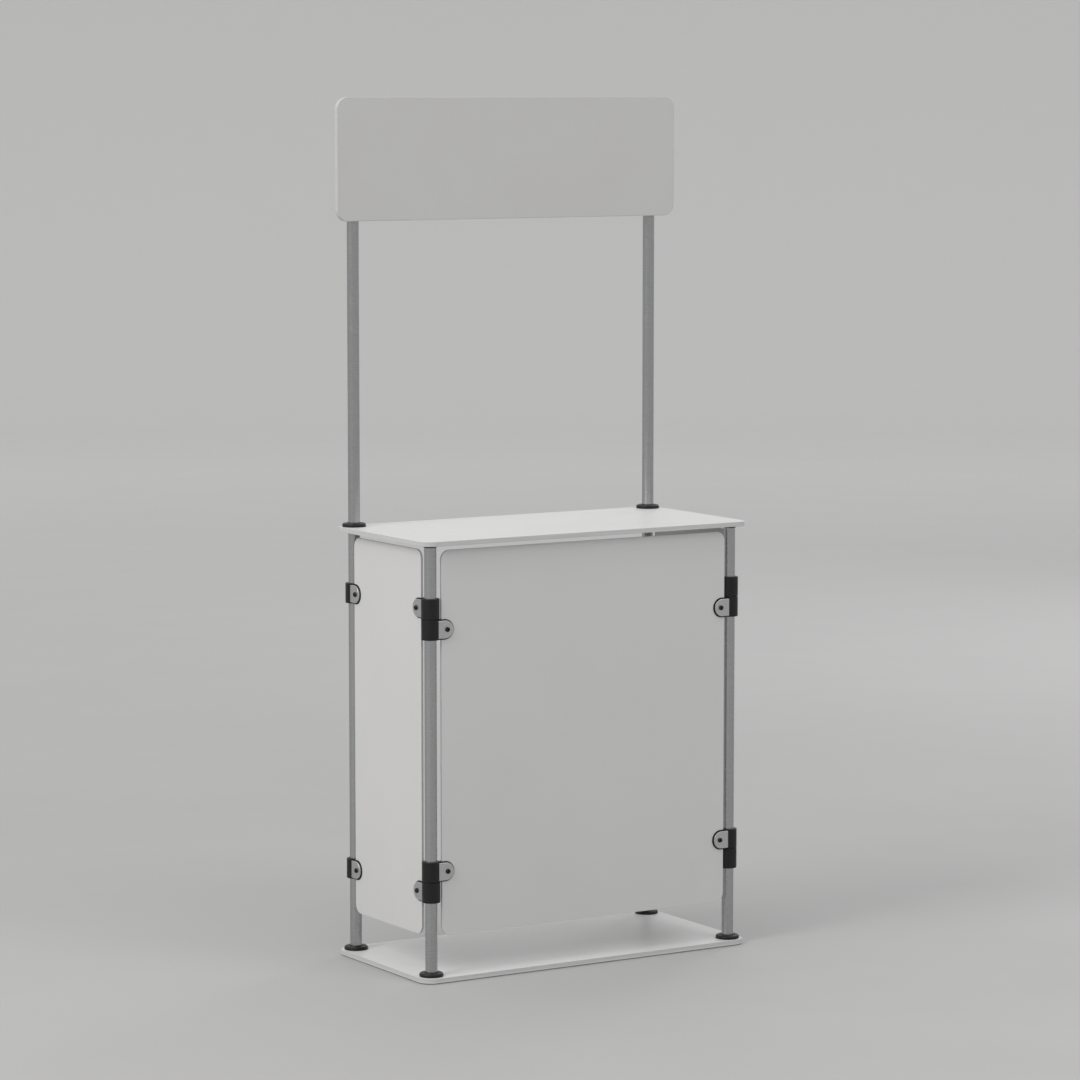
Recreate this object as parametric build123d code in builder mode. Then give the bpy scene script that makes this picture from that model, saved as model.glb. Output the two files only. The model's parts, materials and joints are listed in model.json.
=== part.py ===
from build123d import *
import os

os.makedirs("parts", exist_ok=True)

# Knock-down display counter with a header sign. Millimetres, +Z up, -Y is the public side.
# The origin is on the floor, at the centre of the base board.

# ---------------------------------------------------------------- driving dimensions
BOARD_LENGTH = 800.0
BOARD_DEPTH = 380.0
BOARD_THICKNESS = 10.0
BOARD_CORNER = 30.0
BAND = 2.0
EDGE_ROUND = 0.8
PAD_HEIGHT = 2.0
PAD_DIAMETER = 30.0
DECK_PITCH = 902.0  # top of the base board to top of the counter board

TUBE = 25.0
TUBE_WALL = 1.5
POST_INSET_X = 32.0  # board end to tube axis
POST_INSET_Y = 31.0  # board edge to tube axis
FIT = 0.05  # radial running clearance between a tube and what it slides over or into
SPIGOT_LENGTH = 40.0

FLANGE = 50.0
FLANGE_HEIGHT = 9.0
FLANGE_EDGE = 3.5
FLANGE_SHOULDER = 4.0
SOCKET_FLOOR = 2.0  # post flange's material between the counter's top face and the end of the tube
FLANGE_SEAT = 0.5  # shallow seat in the counter that keeps a post flange in place

PANEL_THICKNESS = 5.0
PANEL_FACE = 11.0  # tube axis out to the panel's outer face
PANEL_GAP = 19.5  # tube axis along to the panel's end
PANEL_CORNER = 20.0
PANEL_HEIGHT = 798.0
PANEL_LIFT = 83.5  # base board's top face to the panel's lower edge

COLLAR = 38.0
CLAMP_HEIGHT = 42.0
CLAMP_PITCH = 43.0  # two clamps stacked on one front leg
FRONT_CLAMP_LOW = 218.0  # centre heights above the base board's top face
FRONT_CLAMP_HIGH = 719.0
JAW_REACH = 48.0  # tube axis to the tip of a jaw
JAW_THICKNESS = 5.0
JAW_PAD = 1.5  # rubber lining, part of the outer jaw's thickness
JAW_BORDER = 2.5  # how far the rubber shows round the metal jaw
JAW_ROOT = 10.4  # tube axis to the straight end of the outer jaw
SCREW_AT = 31.0  # tube axis to the clamp screw

HEADER_LENGTH = 834.0
HEADER_HEIGHT = 256.0
HEADER_THICKNESS = 12.0
HEADER_CORNER = 25.0
HEADER_BOTTOM = 640.0  # counter's top face to the header's lower edge
HEADER_GAP = 0.5  # header's back to the front of the posts
POST_BELOW_TOP = 45.0  # header's upper edge down to the end of the post
SADDLE_SPACING = 150.0
SADDLE_HEIGHT = 25.0
SADDLE_SHEET = 2.0
SADDLE_EAR = 18.0

M5 = 5.0
M6 = 6.0
M8 = 8.0
WOOD_SCREW = 4.0
HOLE_PLAY = 0.05  # radial play of a screw in its hole or nut

# ---------------------------------------------------------------- levels and places
base_bottom = PAD_HEIGHT
base_top = base_bottom + BOARD_THICKNESS
counter_top = base_top + DECK_PITCH
counter_bottom = counter_top - BOARD_THICKNESS
post_x = BOARD_LENGTH / 2 - POST_INSET_X
post_y = BOARD_DEPTH / 2 - POST_INSET_Y
tube_radius = TUBE / 2
bore_radius = tube_radius - TUBE_WALL
spigot_radius = bore_radius - FIT
sleeve_radius = tube_radius + FIT

PLUG_RIM = 4.0
PLUG_RIM_DIAMETER = 27.5
leg_top = counter_bottom - PLUG_RIM
post_bottom = counter_top + SOCKET_FLOOR
header_bottom = counter_top + HEADER_BOTTOM
header_top = header_bottom + HEADER_HEIGHT
header_middle = (header_bottom + header_top) / 2
header_back = post_y - tube_radius - HEADER_GAP
post_top = header_top - POST_BELOW_TOP

corners = {
    "front_left": (-post_x, -post_y),
    "front_right": (post_x, -post_y),
    "rear_left": (-post_x, post_y),
    "rear_right": (post_x, post_y),
}
posts = {"left": (-post_x, post_y), "right": (post_x, post_y)}
leg_places = list(corners.values())
post_places = list(posts.values())
front_leg_places = [(-post_x, -post_y), (post_x, -post_y)]


def upright(x, y, z):
    """A vertical section plane through (x, y): its x runs along +X and its y runs up."""
    return Plane(origin=(x, y, z), x_dir=(1, 0, 0), z_dir=(0, -1, 0))


def save(made, name):
    """Label a finished piece and write it under its own name."""
    made.part.label = name
    export_step(made.part, f"parts/{name}.step")


# ---------------------------------------------------------------- boards and their edge bands
COUNTERSINK = 16.0
COUNTERSINK_DEPTH = 4.4
BOARD_INSERT = 9.0
BOARD_INSERT_DEPTH = 8.0
base_hole = M8 + 2 * HOLE_PLAY
rear_hole = M6 + 2 * HOLE_PLAY


def board_blank(bottom):
    """Laminate board without its band. It is made inside the builder that calls it."""
    with BuildSketch(Plane.XY.offset(bottom)) as outline:
        RectangleRounded(BOARD_LENGTH - 2 * BAND, BOARD_DEPTH - 2 * BAND, BOARD_CORNER - BAND)
    extrude(outline.sketch, amount=BOARD_THICKNESS)


def bore(level, places, diameter, depth):
    """Equal round holes upwards from a level, cut in the builder that calls it."""
    with BuildSketch(Plane.XY.offset(level)) as holes:
        with Locations(*places):
            Circle(diameter / 2)
    extrude(holes.sketch, amount=depth, mode=Mode.SUBTRACT)


def edge_band(plane, length, depth, thickness, corner):
    """Plastic edging of a board, softened along its outer edges."""
    with BuildPart() as made:
        with BuildSketch(plane):
            RectangleRounded(length, depth, corner)
        extrude(amount=thickness)
        fillet(made.edges().filter_by(Plane(plane.origin, z_dir=plane.z_dir)), radius=EDGE_ROUND)
        with BuildSketch(plane):
            RectangleRounded(length - 2 * BAND, depth - 2 * BAND, corner - BAND)
        extrude(amount=thickness, mode=Mode.SUBTRACT)
    return made


with BuildPart() as base_board:
    board_blank(base_bottom)
    bore(base_bottom, leg_places, base_hole, BOARD_THICKNESS)
    for x, y in leg_places:
        with BuildSketch(upright(x, y, base_bottom)):
            Polygon(
                (0, 0),
                (COUNTERSINK / 2 + HOLE_PLAY, 0),
                (base_hole / 2, COUNTERSINK_DEPTH),
                (0, COUNTERSINK_DEPTH),
                align=None,
            )
        revolve(axis=Axis((x, y, 0), (0, 0, 1)), mode=Mode.SUBTRACT)
save(base_board, "base_board")

base_edge_band = edge_band(
    Plane.XY.offset(base_bottom), BOARD_LENGTH, BOARD_DEPTH, BOARD_THICKNESS, BOARD_CORNER
)
save(base_edge_band, "base_edge_band")

with BuildPart() as counter_board:
    board_blank(counter_bottom)
    bore(counter_bottom, post_places, rear_hole, BOARD_THICKNESS)
    bore(counter_bottom, front_leg_places, BOARD_INSERT, BOARD_INSERT_DEPTH)
    bore(counter_top - FLANGE_SEAT, post_places, FLANGE + 2 * FIT, FLANGE_SEAT)
save(counter_board, "counter_board")

counter_edge_band = edge_band(
    Plane.XY.offset(counter_bottom), BOARD_LENGTH, BOARD_DEPTH, BOARD_THICKNESS, BOARD_CORNER
)
save(counter_edge_band, "counter_edge_band")

PAD_X = 300.0
PAD_Y = 150.0
with BuildPart() as floor_pads:
    with BuildSketch():
        with GridLocations(2 * PAD_X, 2 * PAD_Y, 2, 2):
            Circle(PAD_DIAMETER / 2)
    extrude(amount=PAD_HEIGHT)
save(floor_pads, "floor_pads")


# ---------------------------------------------------------------- legs, header posts and what holds them
def tube(x, y, bottom, top):
    """Round steel tube, open at both ends."""
    with BuildPart() as made:
        with BuildSketch(Plane((x, y, bottom))):
            Circle(tube_radius)
            Circle(bore_radius, mode=Mode.SUBTRACT)
        extrude(amount=top - bottom)
    return made


def rosette(x, y, level, sunk=0.0):
    """Domed round flange at the foot of a tube, let into its board by sunk, in the calling builder."""
    rim = FLANGE / 2
    shoulder = (rim - FLANGE_SHOULDER, FLANGE_EDGE + FLANGE_SHOULDER)
    inside = [(sleeve_radius, FLANGE_HEIGHT), (sleeve_radius, -sunk)]
    with BuildSketch(upright(x, y, level)) as profile:
        with BuildLine():
            Polyline(shoulder, *inside, (rim, -sunk), (rim, FLANGE_EDGE))
            TangentArc((rim, FLANGE_EDGE), shoulder, tangent=(0, 1))
        make_face()
    revolve(profile.sketch, axis=Axis((x, y, 0), (0, 0, 1)))


for corner, (x, y) in corners.items():
    leg = tube(x, y, base_top, leg_top)
    save(leg, f"leg_{corner}")
    with BuildPart() as base_flange:
        rosette(x, y, base_top)
    save(base_flange, f"base_flange_{corner}")

LEG_INSERT_LENGTH = 22.0
with BuildPart() as leg_inserts:
    with BuildSketch(Plane.XY.offset(base_top)):
        with Locations(*leg_places):
            Circle(bore_radius)
            Circle(base_hole / 2, mode=Mode.SUBTRACT)
    extrude(amount=LEG_INSERT_LENGTH)
save(leg_inserts, "leg_inserts")

BASE_SCREW_LENGTH = 30.0
BASE_SCREW_SOCKET = 5.0  # across flats
with BuildPart() as base_screws:
    for x, y in leg_places:
        with BuildSketch(upright(x, y, base_bottom)):
            Polygon(
                (0, 0),
                (COUNTERSINK / 2, 0),
                (M8 / 2, COUNTERSINK_DEPTH),
                (M8 / 2, BASE_SCREW_LENGTH),
                (0, BASE_SCREW_LENGTH),
                align=None,
            )
        revolve(axis=Axis((x, y, 0), (0, 0, 1)))
    with BuildSketch(Plane.XY.offset(base_bottom)):
        with Locations(*leg_places):
            RegularPolygon(BASE_SCREW_SOCKET / 2, 6, major_radius=False)
    extrude(amount=COUNTERSINK_DEPTH - 1, mode=Mode.SUBTRACT)
save(base_screws, "base_screws")

# Plastic plugs under the counter: a rim, and a spigot that drops into the top of each leg.
PLUG_BORE = 11.0
PLUG_SEAT = 12.0  # counter's underside down to the seat of the plug's screw
PLUG_LEAD = 1.0
for corner, (x, y) in corners.items():
    with BuildPart() as plug:
        with BuildSketch(Plane((x, y, leg_top))):
            Circle(PLUG_RIM_DIAMETER / 2)
        extrude(amount=PLUG_RIM)
        with BuildSketch(Plane((x, y, leg_top - SPIGOT_LENGTH))):
            Circle(spigot_radius)
        extrude(amount=SPIGOT_LENGTH)
        chamfer(plug.edges().group_by(Axis.Z)[0], length=PLUG_LEAD)
        bore(leg_top - SPIGOT_LENGTH, [(x, y)], PLUG_BORE, PLUG_RIM + SPIGOT_LENGTH - PLUG_SEAT)
        bore(counter_bottom - PLUG_SEAT, [(x, y)], rear_hole, PLUG_SEAT)
    save(plug, f"counter_plug_{corner}")

with BuildPart() as counter_inserts:
    with BuildSketch(Plane.XY.offset(counter_bottom)):
        with Locations(*front_leg_places):
            Circle(BOARD_INSERT / 2)
            Circle(rear_hole / 2, mode=Mode.SUBTRACT)
    extrude(amount=BOARD_INSERT_DEPTH)
save(counter_inserts, "counter_inserts")

# Screws that hold the plugs to the counter from inside the spigots.
CAP_HEAD = 10.0
CAP_HEAD_HEIGHT = 6.0
CAP_SOCKET = 5.0
CAP_SOCKET_DEPTH = 3.0


def plug_screws(places, top):
    """Hexagon-socket screws, head down, that end at the given height."""
    seat = counter_bottom - PLUG_SEAT
    with BuildPart() as made:
        with BuildSketch(Plane.XY.offset(seat - CAP_HEAD_HEIGHT)):
            with Locations(*places):
                Circle(CAP_HEAD / 2)
        extrude(amount=CAP_HEAD_HEIGHT)
        with BuildSketch(Plane.XY.offset(seat)):
            with Locations(*places):
                Circle(M6 / 2)
        extrude(amount=top - seat)
        with BuildSketch(Plane.XY.offset(seat - CAP_HEAD_HEIGHT)):
            with Locations(*places):
                RegularPolygon(CAP_SOCKET / 2, 6, major_radius=False)
        extrude(amount=CAP_SOCKET_DEPTH, mode=Mode.SUBTRACT)
    return made


FLANGE_THREAD_DEPTH = 18.0
counter_screws_front = plug_screws(front_leg_places, counter_bottom + BOARD_INSERT_DEPTH - 0.5)
save(counter_screws_front, "counter_screws_front")
flange_thread_end = counter_top - FLANGE_SEAT + FLANGE_THREAD_DEPTH
counter_screws_rear = plug_screws(post_places, flange_thread_end - 1)
save(counter_screws_rear, "counter_screws_rear")

# Post flanges: the same rosette, closed at the bottom, with a spigot that the post drops over.
for side, (x, y) in posts.items():
    with BuildPart() as post_flange:
        rosette(x, y, counter_top, FLANGE_SEAT)
        with BuildSketch(Plane((x, y, counter_top - FLANGE_SEAT))):
            Circle(sleeve_radius)
        extrude(amount=FLANGE_SEAT + SOCKET_FLOOR)
        with BuildSketch(Plane((x, y, post_bottom))):
            Circle(spigot_radius)
        extrude(amount=SPIGOT_LENGTH)
        chamfer(post_flange.edges().group_by(Axis.Z)[-1], length=PLUG_LEAD)
        bore(counter_top - FLANGE_SEAT, [(x, y)], rear_hole, FLANGE_THREAD_DEPTH)
    save(post_flange, f"post_flange_{side}")

CAP_RIM = 3.0
CAP_PLUG = 14.0
CAP_ROUND = 2.0
for side, (x, y) in posts.items():
    post = tube(x, y, post_bottom, post_top)
    save(post, f"header_post_{side}")
    with BuildPart() as post_cap:
        with BuildSketch(Plane((x, y, post_top))):
            Circle(tube_radius)
        extrude(amount=CAP_RIM)
        fillet(post_cap.edges().group_by(Axis.Z)[-1], radius=CAP_ROUND)
        with BuildSketch(Plane((x, y, post_top - CAP_PLUG))):
            Circle(spigot_radius)
        extrude(amount=CAP_PLUG)
    save(post_cap, f"post_cap_{side}")

# ---------------------------------------------------------------- panels and their clamps
# Each panel has a frame of its own: x along the panel, y up, z out of the stand.
# A leg's axis crosses that frame at x = +half or -half, in its z = 0 plane.
front_low = base_top + FRONT_CLAMP_LOW
front_high = base_top + FRONT_CLAMP_HIGH
side_low = front_low - CLAMP_PITCH
side_high = front_high + CLAMP_PITCH
panel_middle = base_top + PANEL_LIFT + PANEL_HEIGHT / 2

panels = {
    "front": {
        "plane": Plane(origin=(0, -post_y, 0), x_dir=(1, 0, 0), z_dir=(0, -1, 0)),
        "half": post_x,
        "ends": {"left": -1, "right": 1},
        "levels": {"lower": front_low, "upper": front_high},
    },
    "left": {
        "plane": Plane(origin=(-post_x, 0, 0), x_dir=(0, -1, 0), z_dir=(-1, 0, 0)),
        "half": post_y,
        "ends": {"rear": -1, "front": 1},
        "levels": {"lower": side_low, "upper": side_high},
    },
    "right": {
        "plane": Plane(origin=(post_x, 0, 0), x_dir=(0, 1, 0), z_dir=(1, 0, 0)),
        "half": post_y,
        "ends": {"front": -1, "rear": 1},
        "levels": {"lower": side_low, "upper": side_high},
    },
}


def spots(panel, reach):
    """The four places (x, y) in a panel's frame at a reach from the leg axes."""
    return [
        (end * (panel["half"] - reach), level)
        for end in panel["ends"].values()
        for level in panel["levels"].values()
    ]


screw_hole = M6 / 2 + HOLE_PLAY
for name, panel in panels.items():
    length = 2 * (panel["half"] - PANEL_GAP)
    with BuildPart() as sheet:
        with BuildSketch(panel["plane"].offset(PANEL_FACE - PANEL_THICKNESS)):
            with Locations((0, panel_middle)):
                RectangleRounded(length, PANEL_HEIGHT, PANEL_CORNER)
            with Locations(*spots(panel, SCREW_AT)):
                Circle(screw_hole, mode=Mode.SUBTRACT)
        extrude(amount=PANEL_THICKNESS)
    save(sheet, f"{name}_panel")

jaw_radius = CLAMP_HEIGHT / 2
jaw_centre = JAW_REACH - jaw_radius
jaw_outside = PANEL_FACE + JAW_THICKNESS
inner_jaw_back = PANEL_FACE - PANEL_THICKNESS - JAW_THICKNESS
COLLAR_ROUND = 1.2
INNER_JAW_ROOT = 14.0
NUT = 10.0  # across flats
NUT_THICKNESS = 5.0
NUT_POCKET = 2.5


def jaw_outline(end, half, level, root, border):
    """D-shaped outline of a jaw: straight at the leg, round at its tip."""
    radius = jaw_radius - border
    straight = jaw_centre - root
    with Locations((end * (half - jaw_centre), level)):
        Circle(radius)
    with Locations((end * (half - root - straight / 2), level)):
        Rectangle(straight, 2 * radius)
    with Locations((end * (half - root + radius / 2), level)):
        Rectangle(radius, 2 * radius, mode=Mode.SUBTRACT)


def clamp(panel, end, level):
    """Moulded collar on a leg, with the fixed inner jaw, the nut pocket and the set-screw hole."""
    frame = panel["plane"]
    half = panel["half"]
    foot = frame.from_local_coords((end * half, level - CLAMP_HEIGHT / 2, 0))
    ring_plane = Plane(origin=foot, x_dir=frame.x_dir, z_dir=(0, 0, 1))
    with BuildPart() as made:
        with BuildSketch(ring_plane):
            Circle(COLLAR / 2)
        extrude(amount=CLAMP_HEIGHT)
        fillet(made.edges().filter_by(GeomType.CIRCLE), radius=COLLAR_ROUND)
        with BuildSketch(frame.offset(inner_jaw_back)):
            jaw_outline(end, half, level, INNER_JAW_ROOT, 0)
        extrude(amount=JAW_THICKNESS)
        with BuildSketch(ring_plane):
            Circle(sleeve_radius)
            # The notch that keys the root of the outer jaw.
            with Locations((-end * (JAW_ROOT + COLLAR) / 2, -(PANEL_FACE + COLLAR) / 2)):
                Rectangle(COLLAR - JAW_ROOT, COLLAR - PANEL_FACE)
        extrude(amount=CLAMP_HEIGHT, mode=Mode.SUBTRACT)
        with BuildSketch(frame.offset(inner_jaw_back)):
            with Locations((end * (half - SCREW_AT), level)):
                Circle(screw_hole)
        extrude(amount=JAW_THICKNESS, mode=Mode.SUBTRACT)
        with BuildSketch(frame.offset(inner_jaw_back)):
            with Locations((end * (half - SCREW_AT), level)):
                RegularPolygon(NUT / 2 + HOLE_PLAY, 6, major_radius=False)
        extrude(amount=NUT_POCKET, mode=Mode.SUBTRACT)
        with BuildSketch(frame.offset(-COLLAR / 2)):
            with Locations((end * half, level)):
                Circle(M5 / 2 + HOLE_PLAY)
        extrude(amount=COLLAR / 2 - tube_radius + 1, mode=Mode.SUBTRACT)
    return made


for name, panel in panels.items():
    for end_name, end in panel["ends"].items():
        for level_name, level in panel["levels"].items():
            save(clamp(panel, end, level), f"{name}_clamp_{end_name}_{level_name}")

for name, panel in panels.items():
    with BuildPart() as jaws:
        for end in panel["ends"].values():
            for level in panel["levels"].values():
                with BuildSketch(panel["plane"].offset(PANEL_FACE + JAW_PAD)):
                    jaw_outline(end, panel["half"], level, JAW_ROOT, JAW_BORDER)
                    with Locations((end * (panel["half"] - SCREW_AT), level)):
                        Circle(screw_hole, mode=Mode.SUBTRACT)
                extrude(amount=JAW_THICKNESS - JAW_PAD)
    save(jaws, f"{name}_panel_jaws")

with BuildPart() as jaw_pads:
    for panel in panels.values():
        for end in panel["ends"].values():
            for level in panel["levels"].values():
                with BuildSketch(panel["plane"].offset(PANEL_FACE)):
                    jaw_outline(end, panel["half"], level, JAW_ROOT, 0)
                    with Locations((end * (panel["half"] - SCREW_AT), level)):
                        Circle(screw_hole, mode=Mode.SUBTRACT)
                extrude(amount=JAW_PAD)
save(jaw_pads, "jaw_pads")

BUTTON_HEAD = 10.5
BUTTON_EDGE = 1.3
BUTTON_CROWN = 2.0
BUTTON_TAPER = 40.0
BUTTON_SOCKET = 4.0
CLAMP_SCREW_LENGTH = 20.0
with BuildPart() as clamp_screws:
    for panel in panels.values():
        places = spots(panel, SCREW_AT)
        frame = panel["plane"]
        with BuildSketch(frame.offset(jaw_outside)):
            with Locations(*places):
                Circle(BUTTON_HEAD / 2)
        extrude(amount=BUTTON_EDGE)
        with BuildSketch(frame.offset(jaw_outside + BUTTON_EDGE)):
            with Locations(*places):
                Circle(BUTTON_HEAD / 2)
        extrude(amount=BUTTON_CROWN, taper=BUTTON_TAPER)
        with BuildSketch(frame.offset(jaw_outside - CLAMP_SCREW_LENGTH)):
            with Locations(*places):
                Circle(M6 / 2)
        extrude(amount=CLAMP_SCREW_LENGTH)
        with BuildSketch(frame.offset(jaw_outside + BUTTON_EDGE)):
            with Locations(*places):
                RegularPolygon(BUTTON_SOCKET / 2, 6, major_radius=False)
        extrude(amount=BUTTON_CROWN, mode=Mode.SUBTRACT)
save(clamp_screws, "clamp_screws")

with BuildPart() as clamp_nuts:
    for panel in panels.values():
        with BuildSketch(panel["plane"].offset(inner_jaw_back + NUT_POCKET - NUT_THICKNESS)):
            with Locations(*spots(panel, SCREW_AT)):
                RegularPolygon(NUT / 2, 6, major_radius=False)
                Circle(screw_hole, mode=Mode.SUBTRACT)
        extrude(amount=NUT_THICKNESS)
save(clamp_nuts, "clamp_nuts")

SET_SCREW_LENGTH = 6.0
SET_SOCKET = 2.5
with BuildPart() as clamp_set_screws:
    for panel in panels.values():
        outer_end = panel["plane"].offset(-tube_radius - SET_SCREW_LENGTH)
        with BuildSketch(outer_end):
            with Locations(*spots(panel, 0)):
                Circle(M5 / 2)
        extrude(amount=SET_SCREW_LENGTH)
        with BuildSketch(outer_end):
            with Locations(*spots(panel, 0)):
                RegularPolygon(SET_SOCKET / 2, 6, major_radius=False)
        extrude(amount=SET_SCREW_LENGTH / 3, mode=Mode.SUBTRACT)
save(clamp_set_screws, "clamp_set_screws")

# ---------------------------------------------------------------- header sign and its saddles
header_plane = Plane(origin=(0, header_back, header_middle), x_dir=(1, 0, 0), z_dir=(0, -1, 0))
saddle_levels = {
    "upper": header_middle + SADDLE_SPACING / 2,
    "lower": header_middle - SADDLE_SPACING / 2,
}
strap_radius = sleeve_radius + SADDLE_SHEET
ear_end = strap_radius + SADDLE_EAR
ear_hole = strap_radius + SADDLE_EAR / 2
WOOD_SCREW_LENGTH = 10.0
WOOD_SCREW_HEAD = 8.0
WOOD_SCREW_HEAD_HEIGHT = 2.4
wood_hole = WOOD_SCREW / 2 + HOLE_PLAY
screw_places = [
    (x + side * ear_hole, level - header_middle)
    for x in (-post_x, post_x)
    for side in (-1, 1)
    for level in saddle_levels.values()
]

with BuildPart() as header_board:
    with BuildSketch(header_plane):
        RectangleRounded(HEADER_LENGTH - 2 * BAND, HEADER_HEIGHT - 2 * BAND, HEADER_CORNER - BAND)
    extrude(amount=HEADER_THICKNESS)
    with BuildSketch(header_plane):
        with Locations(*screw_places):
            Circle(wood_hole)
    extrude(amount=WOOD_SCREW_LENGTH - SADDLE_SHEET, mode=Mode.SUBTRACT)
save(header_board, "header_board")

header_edge_band = edge_band(
    header_plane, HEADER_LENGTH, HEADER_HEIGHT, HEADER_THICKNESS, HEADER_CORNER
)
save(header_edge_band, "header_edge_band")

for side, (x, y) in posts.items():
    for level_name, level in saddle_levels.items():
        bottom = level - SADDLE_HEIGHT / 2
        ears_length = y - header_back
        with BuildPart() as saddle:
            with BuildSketch(Plane((x, y, bottom))):
                Circle(strap_radius)
                with Locations((0, -ears_length / 2)):
                    Rectangle(2 * strap_radius, ears_length)
                with Locations((0, -ears_length - strap_radius / 2)):
                    Rectangle(2 * strap_radius, strap_radius, mode=Mode.SUBTRACT)
                with Locations((0, -ears_length + SADDLE_SHEET / 2)):
                    Rectangle(2 * ear_end, SADDLE_SHEET)
                with Locations((0, -ears_length / 2)):
                    Rectangle(2 * sleeve_radius, ears_length, mode=Mode.SUBTRACT)
                Circle(sleeve_radius, mode=Mode.SUBTRACT)
            extrude(amount=SADDLE_HEIGHT)
            with BuildSketch(upright(x, header_back, level)):
                with GridLocations(2 * ear_hole, 1, 2, 1):
                    Circle(wood_hole)
            extrude(amount=-SADDLE_SHEET, mode=Mode.SUBTRACT)
        save(saddle, f"header_saddle_{side}_{level_name}")

ear_back = header_plane.offset(-SADDLE_SHEET)
with BuildPart() as header_screws:
    with BuildSketch(ear_back):
        with Locations(*screw_places):
            Circle(WOOD_SCREW / 2)
    extrude(amount=WOOD_SCREW_LENGTH - 0.5)
    with BuildSketch(ear_back):
        with Locations(*screw_places):
            Circle(WOOD_SCREW_HEAD / 2)
    extrude(amount=-WOOD_SCREW_HEAD_HEIGHT, taper=20)
save(header_screws, "header_screws")
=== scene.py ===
"""Knock-down display counter with a header sign: the looks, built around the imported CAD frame."""

import json
import math

import bmesh
import bpy
from mathutils import Matrix, Vector


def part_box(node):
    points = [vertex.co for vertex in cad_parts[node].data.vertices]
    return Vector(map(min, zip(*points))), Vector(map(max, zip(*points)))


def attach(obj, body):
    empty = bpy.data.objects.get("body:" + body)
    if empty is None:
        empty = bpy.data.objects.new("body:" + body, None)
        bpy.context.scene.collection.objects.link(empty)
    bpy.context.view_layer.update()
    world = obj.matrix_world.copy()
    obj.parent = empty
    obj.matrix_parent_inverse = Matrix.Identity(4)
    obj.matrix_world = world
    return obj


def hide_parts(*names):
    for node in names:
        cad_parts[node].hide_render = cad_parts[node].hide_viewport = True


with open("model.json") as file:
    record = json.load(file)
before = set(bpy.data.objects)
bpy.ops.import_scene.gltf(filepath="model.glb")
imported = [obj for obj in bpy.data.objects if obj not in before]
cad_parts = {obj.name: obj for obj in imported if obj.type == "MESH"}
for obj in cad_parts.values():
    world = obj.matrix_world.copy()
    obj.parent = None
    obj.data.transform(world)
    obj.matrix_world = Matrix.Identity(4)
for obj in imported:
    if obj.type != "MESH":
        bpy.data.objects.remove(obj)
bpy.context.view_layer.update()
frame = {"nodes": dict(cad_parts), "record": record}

MM = 0.001
UM = 0.001 * MM
X = Vector((1, 0, 0))
Y = Vector((0, 1, 0))
Z = Vector((0, 0, 1))

LEGS = ["leg_front_left", "leg_front_right", "leg_rear_left", "leg_rear_right"]
PANELS = {
    "front": {"out": -Y, "ends": {"left": "leg_front_left", "right": "leg_front_right"}},
    "left": {"out": -X, "ends": {"front": "leg_front_left", "rear": "leg_rear_left"}},
    "right": {"out": X, "ends": {"front": "leg_front_right", "rear": "leg_rear_right"}},
}

# The photograph's camera: where it stands round the object, and its lens.
VIEW_AZIMUTH = math.radians(-31.65)
VIEW_ELEVATION = math.radians(6.26)
VIEW_DISTANCE = 8.792
VIEW_AIM = Vector((-0.0055, 0.003, 0.879))
SENSOR = 36.0
LENS = 138.55


# ------------------------------------------------------------------ sizes
def centre_of(node):
    """Middle and size of a CAD node's box."""
    low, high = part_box(node)
    return (low + high) / 2, high - low


def axis_of(node):
    """The vertical axis of a round node, as a point at its foot, and its height."""
    middle, size = centre_of(node)
    return middle - Z * size.z / 2, size.z


def radius_of(node):
    """Radius of an upright round node, over its widest part."""
    return centre_of(node)[1].x / 2


def leg_axes(*words):
    """Axes of the legs whose names hold all these words."""
    return [axis_of(leg)[0] for leg in LEGS if all(word in leg for word in words)]


FIT = 0.05 * MM  # radial play between parts that slide over each other
TUBE = radius_of("leg_front_left")
TUBE_WALL = 1.5 * MM
TUBE_EASE = 0.5 * MM
SPIGOT = TUBE - TUBE_WALL - FIT
SPIGOT_LEAD = 1 * MM
M6 = 3 * MM
M6_HOLE = M6 + FIT
M8_HOLE = 4 * MM + FIT

BAND = 2 * MM
BAND_ROUND = 0.8 * MM
SEAM = 0.12 * MM  # eased edge of a board, so that a hairline shows between it and its band
BOARD_CORNER = 30 * MM
HEADER_CORNER = 25 * MM
PANEL_CORNER = 20 * MM
PANEL_EASE = 0.5 * MM
COUNTERSINK = 8 * MM + FIT
COUNTERSINK_DEEP = 4.4 * MM
FLANGE_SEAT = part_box("counter_board")[1].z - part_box("post_flange_left")[0].z

FLANGE_HEIGHT = centre_of("base_flange_front_left")[1].z
FLANGE_EDGE = 3.5 * MM
FLANGE_SHOULDER = 4 * MM
FLANGE_LIP = 2.2 * MM
SOCKET_FLOOR = 2 * MM  # from the counter's top face to the end of a post
PLUG_RIM = 4 * MM
PLUG_RIM_ROUND = 0.8 * MM
PLUG_BORE = 5.5 * MM
PLUG_SEAT = 12 * MM  # plug's top down to the seat of its screw
CAP_RIM = 3 * MM
CAP_ROUND = 2 * MM
PAD = 15 * MM
PAD_ROUND = 0.6 * MM

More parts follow.
